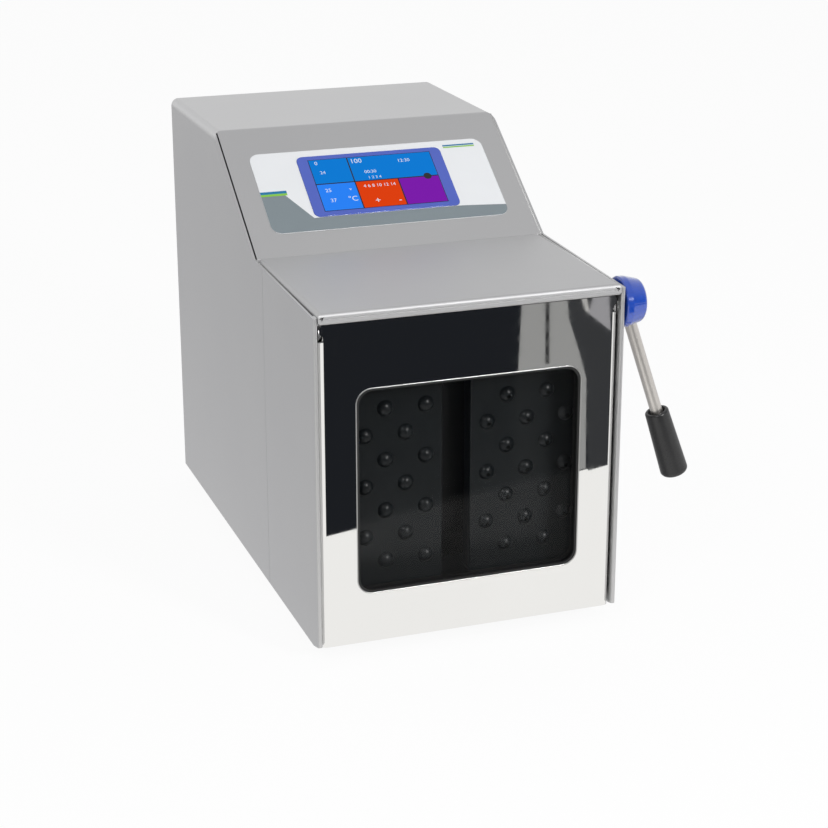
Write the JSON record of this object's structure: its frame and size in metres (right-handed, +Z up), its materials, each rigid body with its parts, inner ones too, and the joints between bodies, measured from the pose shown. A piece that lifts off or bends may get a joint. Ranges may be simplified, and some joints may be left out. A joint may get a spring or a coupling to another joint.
{
  "type": "paddle blender homogenizer",
  "caption": "Benchtop paddle blender with a folded steel housing, touch panel slope, hinged window door, side lever and alternating dimpled paddles.",
  "frame": {"origin": "middle of the whole outline on the bench, under the feet", "axes": "+Z up, -Y towards the operator and the door, +X towards the lever's side"},
  "size_m": [0.2921, 0.4025, 0.335],
  "materials": {
    "stainless": "fine satin finish",
    "polished_steel": "mirror polished",
    "zinc_sheet": "dull zinc finish",
    "black_sheet": "satin black",
    "turned_steel": "ground and polished",
    "aluminium": "machined",
    "bronze": "turned",
    "cast": "grey paint on casting",
    "motor_paint": "satin dark grey",
    "rubber": "matte",
    "paddle_black": "semi-gloss moulding",
    "hub_blue": "glossy",
    "grip_black": "glossy",
    "black_plastic": "fine grain",
    "white_film": "printed film",
    "screen": "glossy lit panel",
    "board_green": "coated board",
    "window": "clear"
  },
  "bodies": {
    "housing": {"housing_shell": "stainless", "side_panel_left": "stainless", "side_panel_right": "stainless", "hood_plate": "stainless", "base_plate": "zinc_sheet", "feet": "rubber", "back_panel": "stainless", "back_screws": "turned_steel", "fascia_overlay": "white_film", "touch_screen": "screen", "display_module": "black_plastic", "hinge_boss": "turned_steel", "hinge_bush": "turned_steel", "chamber_liner": "black_sheet", "bulkhead": "black_sheet", "centre_guard": "black_sheet", "rod_bushes": "bronze", "drive_belt": "rubber", "crank_pedestals": "aluminium", "motor_bracket": "zinc_sheet", "motor": "motor_paint", "electronics_tray": "zinc_sheet", "power_supply": "zinc_sheet", "control_board": "board_green", "fan_housing": "black_plastic", "mains_inlet": "black_plastic", "switch_bezel": "black_plastic"},
    "door": {"door_panel": "polished_steel", "window_gasket": "rubber", "window_pane": "window", "window_frame": "black_sheet", "window_screws": "turned_steel", "bag_clamp": "rubber", "hinge_shaft": "turned_steel", "shaft_collars": "turned_steel", "lever_hub": "hub_blue", "lever_rod": "turned_steel", "lever_grip": "grip_black"},
    "paddle_left": {"paddle_left": "paddle_black", "push_rod_left": "turned_steel"},
    "paddle_right": {"paddle_right": "paddle_black", "push_rod_right": "turned_steel"},
    "crank": {"crank_shaft": "turned_steel", "crank_pulley": "aluminium"},
    "connecting_rod_left": {"connecting_rod_left": "aluminium"},
    "connecting_rod_right": {"connecting_rod_right": "aluminium"},
    "motor_rotor": {"motor_shaft": "turned_steel", "motor_pulley": "aluminium"},
    "fan_rotor": {"fan_rotor": "black_plastic"},
    "power_rocker": {"power_rocker": "black_plastic"}
  },
  "joints": [
    {"name": "door_hinge", "type": "hinge", "parent": "housing", "child": "door", "pos_m": [-0.03112, -0.18275, 0.243], "axis": [-1, 0, 0], "range_deg": [0, 70]},
    {"name": "paddle_left_slide", "type": "slide", "parent": "housing", "child": "paddle_left", "axis": [0, -1, 0], "range_m": [-0.008, 0.008]},
    {"name": "paddle_right_slide", "type": "slide", "parent": "housing", "child": "paddle_right", "axis": [0, -1, 0], "range_m": [-0.008, 0.008]},
    {"name": "crank_spin", "type": "hinge", "parent": "housing", "child": "crank", "pos_m": [-0.03112, 0.0498, 0.12], "axis": [1, 0, 0], "continuous": true},
    {"name": "connecting_rod_left_swing", "type": "hinge", "parent": "crank", "child": "connecting_rod_left", "pos_m": [-0.08512, 0.0498, 0.128], "axis": [1, 0, 0], "continuous": true},
    {"name": "connecting_rod_right_swing", "type": "hinge", "parent": "crank", "child": "connecting_rod_right", "pos_m": [0.02288, 0.0498, 0.112], "axis": [1, 0, 0], "continuous": true},
    {"name": "motor_spin", "type": "hinge", "parent": "housing", "child": "motor_rotor", "pos_m": [-0.12812, 0.1418, 0.12], "axis": [1, 0, 0], "continuous": true},
    {"name": "fan_spin", "type": "hinge", "parent": "housing", "child": "fan_rotor", "pos_m": [0.02688, 0.19275, 0.274], "axis": [0, 1, 0], "continuous": true},
    {"name": "power_rocker_tilt", "type": "hinge", "parent": "housing", "child": "power_rocker", "pos_m": [-0.01112, 0.19705, 0.057], "axis": [-1, 0, 0], "range_deg": [0, 12]}
  ],
  "couplings": [
    {"joint": "paddle_left_slide", "follows": "paddle_right_slide", "ratio": -1},
    {"joint": "connecting_rod_left_swing", "follows": "crank_spin", "ratio": -1},
    {"joint": "connecting_rod_right_swing", "follows": "crank_spin", "ratio": -1},
    {"joint": "motor_spin", "follows": "crank_spin", "ratio": 2.875}
  ]
}
